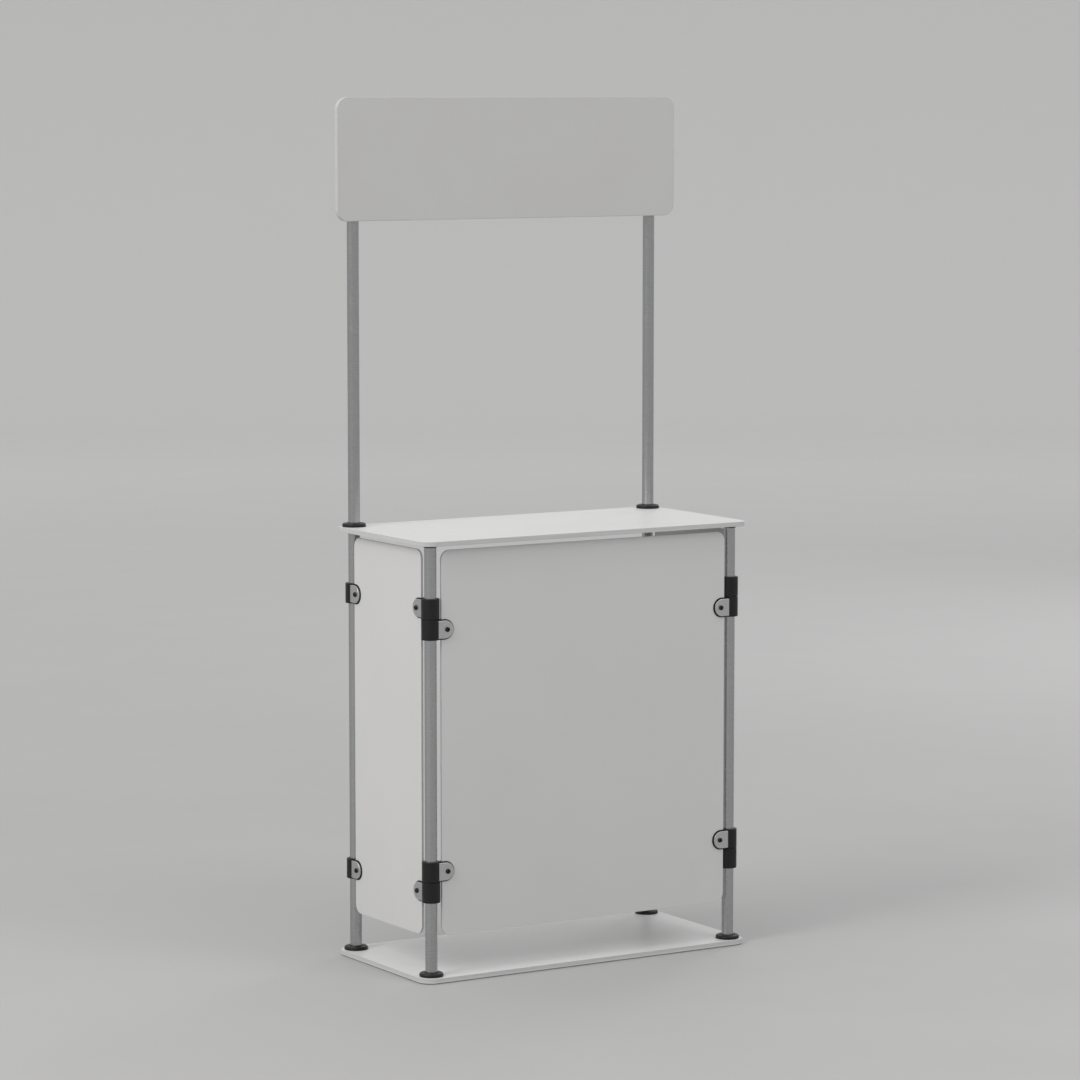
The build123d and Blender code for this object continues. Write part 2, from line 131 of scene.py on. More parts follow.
# Clamps: distances from the front left leg's axis, out of the stand or along the panel.
CORNER_AXIS = axis_of("leg_front_left")[0]
PANEL_OUT = CORNER_AXIS.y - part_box("front_panel")[0].y
PANEL_IN = CORNER_AXIS.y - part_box("front_panel")[1].y
OUTER_JAW_OUT = CORNER_AXIS.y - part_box("front_panel_jaws")[0].y
JAW_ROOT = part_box("front_panel_jaws")[0].x - CORNER_AXIS.x
INNER_JAW_IN = 1 * MM
INNER_JAW_ROOT = 14 * MM
LINING = 1.5 * MM
BORDER = 2.5 * MM  # how far the lining shows round the metal jaw
COLLAR_ROUND = 1.2 * MM
INNER_JAW_EASES = (0.8 * MM, 0.4 * MM)  # eased edges of each: inner face, outer face
JAW_EASES = (0.2 * MM, 1.0 * MM)
PAD_EASES = (0.2 * MM, 0.6 * MM)
SCREW_AT = 31 * MM
SET_SCREW_HOLE = 2.5 * MM + FIT
NUT = 10 * MM  # across flats
NUT_POCKET = 2.5 * MM
BUTTON_HEAD = 5.25 * MM
BUTTON_CROWN = 3.3 * MM
BUTTON_SOCKET = 4 * MM  # across flats
CLAMP_SCREW_LENGTH = 20 * MM

EAR_HOLE = 23.55 * MM  # post's axis to the screws of its saddles
SADDLE_EASE = 0.3 * MM
WOOD_SCREW = 2 * MM
WOOD_SCREW_LENGTH = 9.5 * MM
WOOD_SCREW_DEEP = 8 * MM  # hole in the sign
PAN_HEAD = 4 * MM
PAN_HEAD_RISE = 2.4 * MM
PAST = 1 * MM  # how far a cutting tool reaches past what it cuts
WELD = 0.02 * MM  # closer points than this become one after a cut


# ------------------------------------------------------------------ materials
class Look:
    """A procedural material under construction: a few short words for nodes that all finishes use."""

    def __init__(self, name):
        self.material = bpy.data.materials.new(name)
        self.material.use_nodes = True
        self.tree = self.material.node_tree
        self.bsdf = self.tree.nodes["Principled BSDF"]
        self.place = self.node("ShaderNodeTexCoord").outputs["Object"]

    def node(self, kind, inputs=None, **settings):
        """A new node. Inputs go by name or number, and are values or other nodes' outputs."""
        made = self.tree.nodes.new(kind)
        for name, value in settings.items():
            setattr(made, name, value)
        for name, value in (inputs or {}).items():
            self.put(made.inputs[name], value)
        return made

    def put(self, socket, value):
        if isinstance(value, bpy.types.NodeSocket):
            self.tree.links.new(value, socket)
        else:
            socket.default_value = value

    def set(self, **inputs):
        """Inputs of the surface shader, with an underscore for each space in a name."""
        for name, value in inputs.items():
            self.put(self.bsdf.inputs[name.replace("_", " ")], value)

    def stretched(self, scale, turn=(0, 0, 0)):
        """Object coordinates turned, then multiplied axis by axis, for grain that runs one way."""
        turned = self.node("ShaderNodeMapping", {"Vector": self.place, "Rotation": turn})
        inputs = {"Vector": turned.outputs["Vector"], "Scale": scale}
        return self.node("ShaderNodeMapping", inputs).outputs["Vector"]

    def noise(self, scale, detail=2.0, roughness=0.5, place=None):
        """Fractal noise, scale in features to the metre."""
        inputs = {
            "Vector": place or self.place,
            "Scale": scale,
            "Detail": detail,
            "Roughness": roughness,
        }
        return self.node("ShaderNodeTexNoise", inputs).outputs["Fac"]

    def cells(self, scale):
        """Distance to the middle of the nearest of many small cells."""
        inputs = {"Vector": self.place, "Scale": scale}
        return self.node("ShaderNodeTexVoronoi", inputs).outputs["Distance"]

    def between(self, value, low, high, start=0.0, end=1.0):
        """Maps value from low..high to start..end, clamped."""
        inputs = {
            "Value": value,
            "From Min": low,
            "From Max": high,
            "To Min": start,
            "To Max": end,
        }
        return self.node("ShaderNodeMapRange", inputs).outputs["Result"]

    def sum(self, first, second):
        return self.node("ShaderNodeMath", {0: first, 1: second}, operation="ADD").outputs[0]

    def times(self, first, second):
        return self.node("ShaderNodeMath", {0: first, 1: second}, operation="MULTIPLY").outputs[0]

    def mix(self, factor, first, second):
        """The first colour where factor is 0, the second where it is 1."""
        inputs = {"Factor": factor, "A": first, "B": second}
        return self.node("ShaderNodeMix", inputs, data_type="RGBA").outputs["Result"]

    def bump(self, height, distance, strength, normal=None):
        """A normal bent by a height field; distance is how far its 0 and 1 lie apart."""
        inputs = {"Height": height, "Distance": distance, "Strength": strength}
        if normal:
            inputs["Normal"] = normal
        return self.node("ShaderNodeBump", inputs).outputs["Normal"]

    def worn(self, radius, full, none=0.99):
        """0 on flat faces, rising to 1 near an edge. Full and none are cosines of the angle by which
        rounding the edge to this radius turns the surface there."""
        rounded = self.node("ShaderNodeBevel", {"Radius": radius}, samples=6).outputs["Normal"]
        plain = self.node("ShaderNodeNewGeometry").outputs["Normal"]
        inputs = {0: rounded, 1: plain}
        cosine = self.node("ShaderNodeVectorMath", inputs, operation="DOT_PRODUCT").outputs["Value"]
        return self.between(cosine, full, none, 1.0, 0.0)


def grey(level, warmth=0.0):
    """A linear grey, a little warm (positive) or cool (negative)."""
    return (level * (1 + warmth), level, level * (1 - warmth), 1)


def laminate(name, level):
    """Satin high-pressure laminate: a fine pearl texture, faint speckle, and hairline marks of use."""
    look = Look(name)
    slant = (0.75, 0.5, 0.35)  # the way the hairlines run, as turns about the axes
    sweep = (0.3, 0.2, 0.5)  # the way it is wiped
    speckle = look.between(look.noise(1900, 1), 0.42, 0.62)
    cloud = look.between(look.noise(6, 4, 0.6), 0.35, 0.65)
    tone = look.mix(speckle, grey(level * 0.955, 0.004), grey(level * 1.025, 0.004))
    tone = look.mix(look.times(cloud, 0.6), tone, grey(level * 0.95, 0.01))
    hairline = look.between(look.noise(1.0, 2, 0.5, look.stretched((30, 30, 1700), slant)), 0.67, 0.74)
    patch = look.between(look.noise(8, 2), 0.46, 0.6)
    mark = look.times(hairline, patch)
    wiped = look.noise(1.0, 4, 0.6, look.stretched((5, 60, 22), sweep))
    look.set(Base_Color=look.mix(look.times(mark, 0.3), tone, grey(level * 0.8)))
    look.set(Roughness=look.sum(look.between(wiped, 0.3, 0.7, 0.34, 0.44), look.times(mark, 0.2)))
    look.set(Specular_IOR_Level=0.45)
    pearl = look.bump(look.cells(1300), 40 * UM, 0.6)
    look.set(Normal=look.bump(look.noise(380, 3), 50 * UM, 0.4, pearl))
    return look.material


def edging(name, level, across):
    """Extruded plastic edge band: fine lines along its length and slightly rubbed corners.
    Across is 1 on the axis that runs across the band."""
    look = Look(name)
    lines = look.noise(1.0, 3, 0.6, look.stretched([14 + 3600 * a for a in across]))
    streak = look.noise(1.0, 2, 0.5, look.stretched([6 + 260 * a for a in across]))
    tone = look.mix(look.between(streak, 0.3, 0.7), grey(level * 0.95), grey(level * 1.04))
    worn = look.worn(0.9 * MM, 0.9)
    rubbed = look.times(worn, look.between(look.noise(60, 3), 0.42, 0.6))
    look.set(Base_Color=look.mix(look.times(rubbed, 0.5), tone, grey(level * 1.18)))
    look.set(Roughness=look.between(look.noise(30, 3), 0.3, 0.7, 0.36, 0.5))
    look.set(Normal=look.bump(lines, 30 * UM, 0.5))
    return look.material


def sheet(name, level):
    """Matt foamed plastic sheet: sanded skin, a very slight wave, and a paler cut edge."""
    look = Look(name)
    cloud = look.between(look.noise(3.5, 3), 0.3, 0.7)
    tone = look.mix(cloud, grey(level * 0.985, 0.002), grey(level * 1.012, 0.004))
    fleck = look.between(look.noise(1500, 1), 0.66, 0.74)
    tone = look.mix(look.times(fleck, 0.25), tone, grey(level * 0.86))
    cut = look.worn(0.7 * MM, 0.86)
    look.set(Base_Color=look.mix(look.times(cut, 0.5), tone, grey(level * 1.1)))
    look.set(Roughness=look.between(look.noise(12, 4), 0.3, 0.7, 0.5, 0.6))
    look.set(Specular_IOR_Level=0.35)
    grain = look.bump(look.noise(3200, 2), 30 * UM, 0.4)
    look.set(Normal=look.bump(look.noise(9, 2), 1.2 * MM, 0.18, grain))
    return look.material


def steel_tube(name, level):
    """Satin steel tube: polished round and round, so that the fine grain runs across its length."""
    look = Look(name)
    grain = look.noise(1.0, 4, 0.65, look.stretched((60, 60, 7000)))
    drift = look.noise(1.0, 2, 0.5, look.stretched((30, 30, 12)))
    dark = grey(level * 0.92, -0.012)
    tone = look.mix(look.between(grain, 0.3, 0.7), dark, grey(level * 1.05, -0.006))
    tone = look.mix(look.between(drift, 0.35, 0.65, 0.0, 0.3), tone, grey(level * 0.93, -0.02))
    rough = look.between(grain, 0.25, 0.75, 0.24, 0.32)
    prints = look.between(look.noise(38, 4, 0.6), 0.55, 0.7, 0.0, 0.05)
    look.set(Base_Color=tone, Metallic=1.0, Roughness=look.sum(rough, prints))
    look.set(Anisotropic=0.35)
    look.set(Normal=look.bump(grain, 10 * UM, 0.35))
    return look.material


def satin_metal(name, level, rough, across):
    """Finely brushed plate, brighter where its edges are rubbed. Across says how many times finer
    the grain is along each axis, so the lines run along the axes that have 1."""
    look = Look(name)
    grain = look.noise(1.0, 4, 0.6, look.stretched([900 * a for a in across]))
    tone = look.mix(look.between(grain, 0.3, 0.7), grey(level * 0.9), grey(level * 1.08))
    worn = look.worn(0.6 * MM, 0.85)
    tone = look.mix(look.times(worn, 0.4), tone, grey(min(level * 1.35, 0.95)))
    look.set(Base_Color=tone, Metallic=1.0)
    look.set(Roughness=look.between(grain, 0.25, 0.75, rough - 0.05, rough + 0.08))
    look.set(Normal=look.bump(grain, 20 * UM, 0.5))
    return look.material


def moulded(name, level, rough):
    """Black moulded nylon: spark-eroded texture, polished where it is handled, paler at its edges."""
    look = Look(name)
    pits = look.noise(2000, 2)
    broad = look.between(look.noise(45, 5, 0.6), 0.3, 0.7)
    worn = look.worn(0.7 * MM, 0.88)
    tone = look.mix(broad, grey(level * 0.9), grey(level * 1.15))
    tone = look.mix(look.times(look.between(pits, 0.55, 0.75), 0.5), tone, grey(level * 2.2))
    tone = look.mix(look.times(worn, 0.35), tone, grey(level * 3.5))
    look.set(Base_Color=tone)
    look.set(Roughness=look.between(broad, 0, 1, rough - 0.06, rough + 0.06))
    look.set(Specular_IOR_Level=0.35)
    look.set(Normal=look.bump(pits, 50 * UM, 0.5))
    return look.material


def rubber(name):
    """Matt black rubber lining."""
    look = Look(name)
    broad = look.between(look.noise(120, 3), 0.3, 0.7)
    look.set(Base_Color=look.mix(broad, grey(0.008), grey(0.016, 0.02)))
    look.set(Roughness=look.between(broad, 0, 1, 0.7, 0.85), Specular_IOR_Level=0.3)
    look.set(Normal=look.bump(look.noise(1800, 3), 50 * UM, 0.5))
    return look.material


def oxide_screw(name):
    """Black-oxide steel: dark, slightly oily, bare steel just showing on the socket's rim."""
    look = Look(name)
    oil = look.between(look.noise(400, 3), 0.3, 0.7)
    worn = look.worn(0.25 * MM, 0.8, 0.98)
    tone = look.mix(oil, grey(0.012), grey(0.024, 0.03))
    look.set(Base_Color=look.mix(look.times(worn, 0.35), tone, grey(0.2)), Metallic=0.55)
    look.set(Roughness=look.between(oil, 0, 1, 0.28, 0.42))
    look.set(Normal=look.bump(look.noise(1600, 2), 20 * UM, 0.4))
    return look.material


def plated(name, colour, rough):
    """Zinc plate or brass, with a fine machined grain."""
    look = Look(name)
    grain = look.noise(1.0, 3, 0.6, look.stretched((300, 300, 3000)))
    dark = tuple(0.8 * c for c in colour[:3]) + (1,)
    look.set(Base_Color=look.mix(look.between(grain, 0.3, 0.7), dark, colour), Metallic=1.0)
    look.set(Roughness=look.between(grain, 0.2, 0.8, rough - 0.05, rough + 0.08))
    look.set(Normal=look.bump(grain, 20 * UM, 0.4))
    return look.material


def studio_floor(name):
    """Plain pale painted floor, a little lighter far away: painted light that stands in for a brightly
    lit backdrop. From below it can be seen through, and the base's underside, 2 mm above it, is lit
    through it when that is what the camera sees."""
    look = Look(name)
    reach = look.node("ShaderNodeVectorMath", {0: look.place}, operation="LENGTH").outputs["Value"]
    # Painted light: the floor and sweep grow lighter with distance, standing in for a brightly lit
    # backdrop.
    far = look.between(reach, 2.0, 11.0)
    broad = look.between(look.noise(0.6, 3), 0.3, 0.7)
    near_tone = look.mix(broad, grey(0.42, 0.004), grey(0.44, 0.004))
    look.set(Base_Color=look.mix(far, near_tone, grey(0.66, 0.004)))
    look.set(Roughness=look.between(look.noise(3, 3), 0.3, 0.7, 0.55, 0.68), Specular_IOR_Level=0.25)
    look.set(Normal=look.bump(look.noise(300, 3), 0.2 * MM, 0.1))
    below = look.node("ShaderNodeNewGeometry").outputs["Backfacing"]
    # Only rays from just above the floor are so short. The first one on a path, towards a light
    # or anywhere else, goes through: its count is 1, and that of a later one is 2 or more.
    path = look.node("ShaderNodeLightPath")
    bounces = look.sum(path.outputs["Diffuse Depth"], path.outputs["Is Shadow Ray"])
    first = look.between(bounces, 1.2, 1.8, 1.0, 0.0)
    short = look.between(path.outputs["Ray Length"], 8 * MM, 9 * MM, 1.0, 0.0)
    clear = look.node("ShaderNodeBsdfTransparent").outputs["BSDF"]
    inputs = {0: look.sum(below, look.times(first, short)), 1: look.bsdf.outputs["BSDF"], 2: clear}
    either = look.node("ShaderNodeMixShader", inputs).outputs["Shader"]
    look.put(look.tree.nodes["Material Output"].inputs["Surface"], either)
    return look.material


# The finish of each material slot in the record, with its linear grey or colour first.
MATERIALS = {
    "board_laminate": laminate("laminate", 0.66),
    "edge_band": edging("edging", 0.54, (0, 0, 1)),
    "panel_sheet": sheet("sheet", 0.62),
    "tube_steel": steel_tube("satin_tube", 0.45),
    "jaw_metal": satin_metal("jaw_plate", 0.56, 0.34, (1, 1, 4)),
    "saddle_steel": satin_metal("saddle_plate", 0.42, 0.36, (4, 4, 1)),
    "black_plastic": moulded("moulded_black", 0.006, 0.46),
    "black_rubber": rubber("rubber_lining"),
    "black_screw": oxide_screw("oxide_screw"),
    "zinc_screw": plated("zinc_plate", (0.55, 0.56, 0.58, 1), 0.3),
    "insert_brass": plated("brass", (0.66, 0.47, 0.2, 1), 0.3),
}
# The sign has the boards' finish, a little darker, and its band runs round an upright plate.
HEADER_LAMINATE = laminate("header_laminate", 0.57)
HEADER_EDGING = edging("header_edging", 0.52, (0, 1, 0))


# ------------------------------------------------------------------ mesh building
SEGMENTS = 96  # points round a circle
ROUND_STEPS = 5  # over a quarter of an eased edge
CORNER_STEPS = 24  # over a quarter of a large arc
SHARP = math.radians(32)  # a real corner: edges bent less than this are smooth


def finish_mesh(name, verts, faces):
    """A closed mesh with outward normals, smooth except along real corners."""
    bm = bmesh.new()
    made = [bm.verts.new(v) for v in verts]
    for face in faces:
        bm.faces.new([made[i] for i in face])
    bmesh.ops.recalc_face_normals(bm, faces=bm.faces)
    mesh = bpy.data.meshes.new(name)
    bm.to_mesh(mesh)
    bm.free()
    smooth(mesh)
    return mesh


def smooth(mesh):
    """Smooth shading, except along real corners."""
    mesh.polygons.foreach_set("use_smooth", [True] * len(mesh.polygons))
    mesh.set_sharp_from_angle(angle=SHARP)


def skin(name, rings, closed, caps=True):
    """Faces between neighbouring rings of equal length. A closed profile joins its last ring to its
    first; an open one has a cap at each end."""
    count = len(rings[0])
    verts = [v for ring in rings for v in ring]
    faces = []
    for k in range(len(rings) if closed else len(rings) - 1):
        low = k * count
        high = (k + 1) % len(rings) * count
        for i in range(count):
            j = (i + 1) % count
            faces.append((low + i, low + j, high + j, high + i))
    if caps and not closed:
        faces.append(tuple(range(count))[::-1])
        faces.append(tuple(range(len(verts) - count, len(verts))))
    return finish_mesh(name, verts, faces)


def circle(radius, height):
    turn = 2 * math.pi / SEGMENTS
    return [
        Vector((radius * math.cos(turn * i), radius * math.sin(turn * i), height))
        for i in range(SEGMENTS)
    ]


def hexagon(across_flats, height):
    """A hexagon drawn with as many points as a circle, so that the two can share a skin."""
    sixth = math.pi / 3
    ring = []
    for i in range(SEGMENTS):
        angle = 2 * math.pi * i / SEGMENTS
        off_flat = (angle + sixth / 2) % sixth - sixth / 2
        radius = across_flats / 2 / math.cos(off_flat)
        ring.append(Vector((radius * math.cos(angle), radius * math.sin(angle), height)))
    return ring


def corner(centre, radius, start, end, steps=ROUND_STEPS):
    """Points of an arc in a profile, angles in degrees."""
    points = []
    for k in range(steps + 1):
        angle = math.radians(start + (end - start) * k / steps)
        points.append((centre[0] + radius * math.cos(angle), centre[1] + radius * math.sin(angle)))
    return points


def spin(name, profile, closed=True, caps=True):
    """A turned part: profile points are (radius, height)."""
    return skin(name, [circle(r, h) for r, h in profile], closed, caps)


def tube_profile(outer, inner, bottom, top, ease):
    """Section of a ring with eased outer corners."""
    return (
        corner((outer - ease, bottom + ease), ease, -90, 0)
        + corner((outer - ease, top - ease), ease, 0, 90)
        + [(inner + ease / 2, top), (inner, top - ease / 2)]
        + [(inner, bottom + ease / 2), (inner + ease / 2, bottom)]
    )


def domed(radius, edge, crown, flat, steps=7):
    """Profile of a screw head's dome: from the top of its edge to the flat on its crown."""
    points = []
    for k in range(steps + 1):
        lean = math.pi / 2 * k / steps
        across = flat + (radius - flat) * math.cos(lean)
        points.append((across, edge + (crown - edge) * math.sin(lean)))
    return points


def jaw_ring(radius, centre, root, height):
    """D-shaped outline: a half circle about centre, and a straight end at root."""
    half = SEGMENTS // 2
    ring = []
    for i in range(half + 1):
        angle = math.pi * (i / half - 0.5)
        ring.append(Vector((centre + radius * math.cos(angle), radius * math.sin(angle), height)))
    ring.append(Vector((root, radius, height)))
    ring.append(Vector((root, -radius, height)))
    return ring


def jaw_slab(name, radius, centre, root, span, eases):
    """D-shaped plate over a span of heights, the edges of its lower and upper faces eased."""
    low, high = span
    ease_low, ease_high = eases
    rings = []
    for out, up in corner((0, 0), 1, -90, 0):
        ring_radius = radius - ease_low * (1 - out)
        rings.append(jaw_ring(ring_radius, centre, root, low + ease_low * (1 + up)))
    for out, up in corner((0, 0), 1, 0, 90):
        ring_radius = radius - ease_high * (1 - out)
        rings.append(jaw_ring(ring_radius, centre, root, high - ease_high * (1 - up)))
    return skin(name, rings, closed=False)


def rounded_ring(length, width, radius, inset, height):
    """Rounded rectangle, stepped in by inset."""
    radius = radius - inset
    ring = []
    for quarter in range(4):
        turn = 90 * quarter
        x = (length / 2 - inset - radius) * (1 if quarter in (0, 3) else -1)
        y = (width / 2 - inset - radius) * (1 if quarter in (0, 1) else -1)
        arc = corner((x, y), radius, turn, turn + 90, CORNER_STEPS)
        ring += [Vector((px, py, height)) for px, py in arc]
    return ring


def eased_sides(thickness, ease):
    """Profile (inset, height) of a plate's side with both edges rounded."""
    side = corner((0, ease), ease, -90, 0) + corner((0, thickness - ease), ease, 0, 90)
    return [(ease - out, height) for out, height in side]


def rounded_plate(name, length, width, radius, thickness, ease):
    sides = eased_sides(thickness, ease)
    return skin(name, [rounded_ring(length, width, radius, i, h) for i, h in sides], closed=False)


def rounded_band(name, length, width, radius, thickness, ease, wide):
    """Edging round a plate: rounded outside, square and wide deep inside."""
    sides = eased_sides(thickness, ease) + [(wide, thickness), (wide, 0)]
    return skin(name, [rounded_ring(length, width, radius, i, h) for i, h in sides], closed=True)


def rod(radius, low, high, top=None):
    """Plain tool for a hole, a cone if it has another radius at the top."""
    return spin("rod", [(radius, low), (top or radius, high)], closed=False)


def box_mesh(low, high):
    """A plain box between two opposite corners."""
    corners = [[low[0], low[1]], [high[0], low[1]], [high[0], high[1]], [low[0], high[1]]]
    rings = [[Vector((x, y, z)) for x, y in corners] for z in (low[2], high[2])]
    return skin("box", rings, closed=False)


def moved(mesh, x, y):
    """A copy of a mesh, shifted in its drawing plane."""
    mesh = mesh.copy()
    mesh.transform(Matrix.Translation((x, y, 0)))
    return mesh


def combined(name, base, *steps):
    """Boolean steps on a mesh: (operation, mesh) pairs, worked out once and kept as a mesh."""
    body = bpy.data.objects.new(name, base)
    bpy.context.scene.collection.objects.link(body)
    tools = []
    for operation, mesh in steps:
        tool = bpy.data.objects.new(name + "_tool", mesh)
        bpy.context.scene.collection.objects.link(tool)
        tools.append(tool)
        modifier = body.modifiers.new(operation, "BOOLEAN")
        modifier.operation = operation
        modifier.solver = "EXACT"
        modifier.object = tool
    bpy.context.view_layer.update()
    graph = bpy.context.evaluated_depsgraph_get()
    result = bpy.data.meshes.new_from_object(body.evaluated_get(graph))
    result.name = name
    for made in [body] + tools:
        bpy.data.objects.remove(made)
    bm = bmesh.new()
    bm.from_mesh(result)
    bmesh.ops.remove_doubles(bm, verts=bm.verts, dist=WELD)
    bmesh.ops.dissolve_degenerate(bm, edges=bm.edges, dist=WELD / 10)
    bm.to_mesh(result)
    bm.free()
    smooth(result)
    return result


def joined(name, copies):
    """One mesh from (mesh, matrix) pairs, already standing in the object's frame."""
    bm = bmesh.new()
    for mesh, matrix in copies:
        copy = mesh.copy()
        copy.transform(matrix)
        bm.from_mesh(copy)
    whole = bpy.data.meshes.new(name)
    bm.to_mesh(whole)
    bm.free()
    smooth(whole)
    return whole


# ------------------------------------------------------------------ placing pieces
def even_normals(piece):
    """Normals that follow the larger faces, so that flat faces look flat beside their eased edges."""
    even = piece.modifiers.new("even_normals", "WEIGHTED_NORMAL")
    even.keep_sharp = True


def place(name, mesh, slot, body, matrix, node):
    """Puts a finished mesh on its body, in its material, in the place of a CAD node. A mesh that
    stands in the object's frame already has no matrix."""
    piece = bpy.data.objects.new(name, mesh)
    bpy.context.scene.collection.objects.link(piece)
    if not mesh.materials:
        mesh.materials.append(MATERIALS[slot])
    if matrix:
        piece.matrix_world = matrix
    even_normals(piece)
    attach(piece, body)
    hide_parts(node)


def foot_of(node):
    """Places a mesh that is drawn about the middle of its underside."""
    return Matrix.Translation(axis_of(node)[0])


# ------------------------------------------------------------------ CAD nodes that stay
def soften(piece, width):
    """Eases the hard edges of a CAD node with modifiers, which leave its mesh as packed."""
    weld = piece.modifiers.new("weld", "WELD")
    weld.merge_threshold = WELD / 10
    bevel = piece.modifiers.new("ease", "BEVEL")
    bevel.width = width
    bevel.segments = 3
    bevel.limit_method = "ANGLE"
    bevel.angle_limit = math.radians(40)
    bevel.use_clamp_overlap = True
    even_normals(piece)


def finish_cad_nodes():
    slots = {part["node"]: part["material_slot"] for part in frame["record"]["subparts"]}
    for node, piece in frame["nodes"].items():
        piece.data.materials.clear()
        piece.data.materials.append(MATERIALS[slots[node]])
        if "saddle" in node:
            soften(piece, SADDLE_EASE)


# ------------------------------------------------------------------ boards, edging and panels
# Turns a drawing plane upright, so that its z axis points out of the panel.
UPRIGHT = {
    "front": Matrix((X, Z, -Y)).transposed().to_4x4(),
    "left": Matrix((-Y, Z, -X)).transposed().to_4x4(),
    "right": Matrix((Y, Z, X)).transposed().to_4x4(),
}


def level_board(node, body, cuts):
    """A horizontal board with its screw holes. Cuts are (tool, axis) pairs."""
    middle, size = centre_of(node)
    blank = rounded_plate(node, size.x, size.y, BOARD_CORNER - BAND, size.z, SEAM)
    holes = [("DIFFERENCE", moved(tool, at.x - middle.x, at.y - middle.y)) for tool, at in cuts]
    board = combined(node + "_cut", blank, *holes)
    place(node + "_laminate", board, "board_laminate", body, foot_of(node), node)


def level_band(node, body):
    size = centre_of(node)[1]
    band = rounded_band(node, size.x, size.y, BOARD_CORNER, size.z, BAND_ROUND, BAND)
    place(node + "_strip", band, "edge_band", body, foot_of(node), node)


def boards():
    thick = centre_of("base_board")[1].z
    sink = rod(COUNTERSINK, 0, COUNTERSINK_DEEP, M8_HOLE)
    through = rod(M8_HOLE, COUNTERSINK_DEEP / 2, thick + PAST)
    cuts = [(tool, at) for at in leg_axes() for tool in (sink, through)]
    level_board("base_board", "base", cuts)
    level_band("base_edge_band", "base")
    screw = rod(M6_HOLE, -PAST, thick + PAST)
    seat = rod(radius_of("post_flange_left") + FIT, thick - FLANGE_SEAT, thick + PAST)
    inserts = centre_of("counter_inserts")[1]
    insert = rod(inserts.y / 2, -PAST, inserts.z)
    cuts = [(tool, at) for at in leg_axes("rear") for tool in (screw, seat)]
    cuts += [(insert, at) for at in leg_axes("front")]
    level_board("counter_board", "counter", cuts)
    level_band("counter_edge_band", "counter")


def saddle_screw_spots():
    """Where the saddles are screwed to the sign: points in the plane of the posts' axes."""
    spots = []
    for side in ("left", "right"):
        x = axis_of("header_post_" + side)[0].x
        for level in ("lower", "upper"):
            z = centre_of(f"header_saddle_{side}_{level}")[0].z
            spots += [Vector((x + ear * EAR_HOLE, 0, z)) for ear in (-1, 1)]
    return spots


def header():
    """The sign, drawn about the middle of its back face."""
    middle, size = centre_of("header_board")
    matrix = UPRIGHT["front"].copy()
    matrix.translation = middle + Y * size.y / 2
    blank = rounded_plate("header", size.x, size.z, HEADER_CORNER - BAND, size.y, SEAM)
    tool = rod(WOOD_SCREW + FIT, -PAST, WOOD_SCREW_DEEP)
    holes = []
    for spot in saddle_screw_spots():
        holes.append(("DIFFERENCE", moved(tool, spot.x - middle.x, spot.z - middle.z)))
    board = combined("header_cut", blank, *holes)
    board.materials.append(HEADER_LAMINATE)
    place("header_board_laminate", board, "board_laminate", "header", matrix, "header_board")
    size = centre_of("header_edge_band")[1]
    band = rounded_band("header_band", size.x, size.z, HEADER_CORNER, size.y, BAND_ROUND, BAND)
    band.materials.append(HEADER_EDGING)
    place("header_edge_band_strip", band, "edge_band", "header", matrix, "header_edge_band")


def inward_along(panel, axis):
    """From a leg's axis towards the middle of the panel, along the panel."""
    out = PANELS[panel]["out"]
    inward = centre_of(panel + "_panel")[0] - axis
    inward -= inward.dot(out) * out
    inward.z = 0
    return inward.normalized()


def clamp_spots(panel):
    """Each clamp of a panel: its name, its leg's axis at mid height, and the way into the panel."""
    for end, leg in PANELS[panel]["ends"].items():
        for level in ("lower", "upper"):
            name = f"{panel}_clamp_{end}_{level}"
            axis = axis_of(leg)[0]
            axis.z = centre_of(name)[0].z
            yield name, axis, inward_along(panel, axis)


def panels():
    for panel, about in PANELS.items():
        node = panel + "_panel"
        middle, size = centre_of(node)
        thick = min(size)
        matrix = UPRIGHT[panel].copy()
        matrix.translation = middle - about["out"] * thick / 2
        blank = rounded_plate(node, max(size.x, size.y), size.z, PANEL_CORNER, thick, PANEL_EASE)
        tool = rod(M6_HOLE, -PAST, thick + PAST)
        holes = []
        for _, axis, inward in clamp_spots(panel):
            spot = matrix.inverted() @ (axis + SCREW_AT * inward)
            holes.append(("DIFFERENCE", moved(tool, spot.x, spot.y)))
        board = combined(node + "_cut", blank, *holes)
        place(node + "_sheet", board, "panel_sheet", "base", matrix, node)


# ------------------------------------------------------------------ tubes and what holds them
TUBES = {node: "base" for node in LEGS}
TUBES.update({"header_post_left": "header", "header_post_right": "header"})


def tubes():
    for node, body in TUBES.items():
        height = axis_of(node)[1]
        mesh = spin(node, tube_profile(TUBE, TUBE - TUBE_WALL, 0, height, TUBE_EASE))
        place(node + "_tube", mesh, "tube_steel", body, foot_of(node), node)


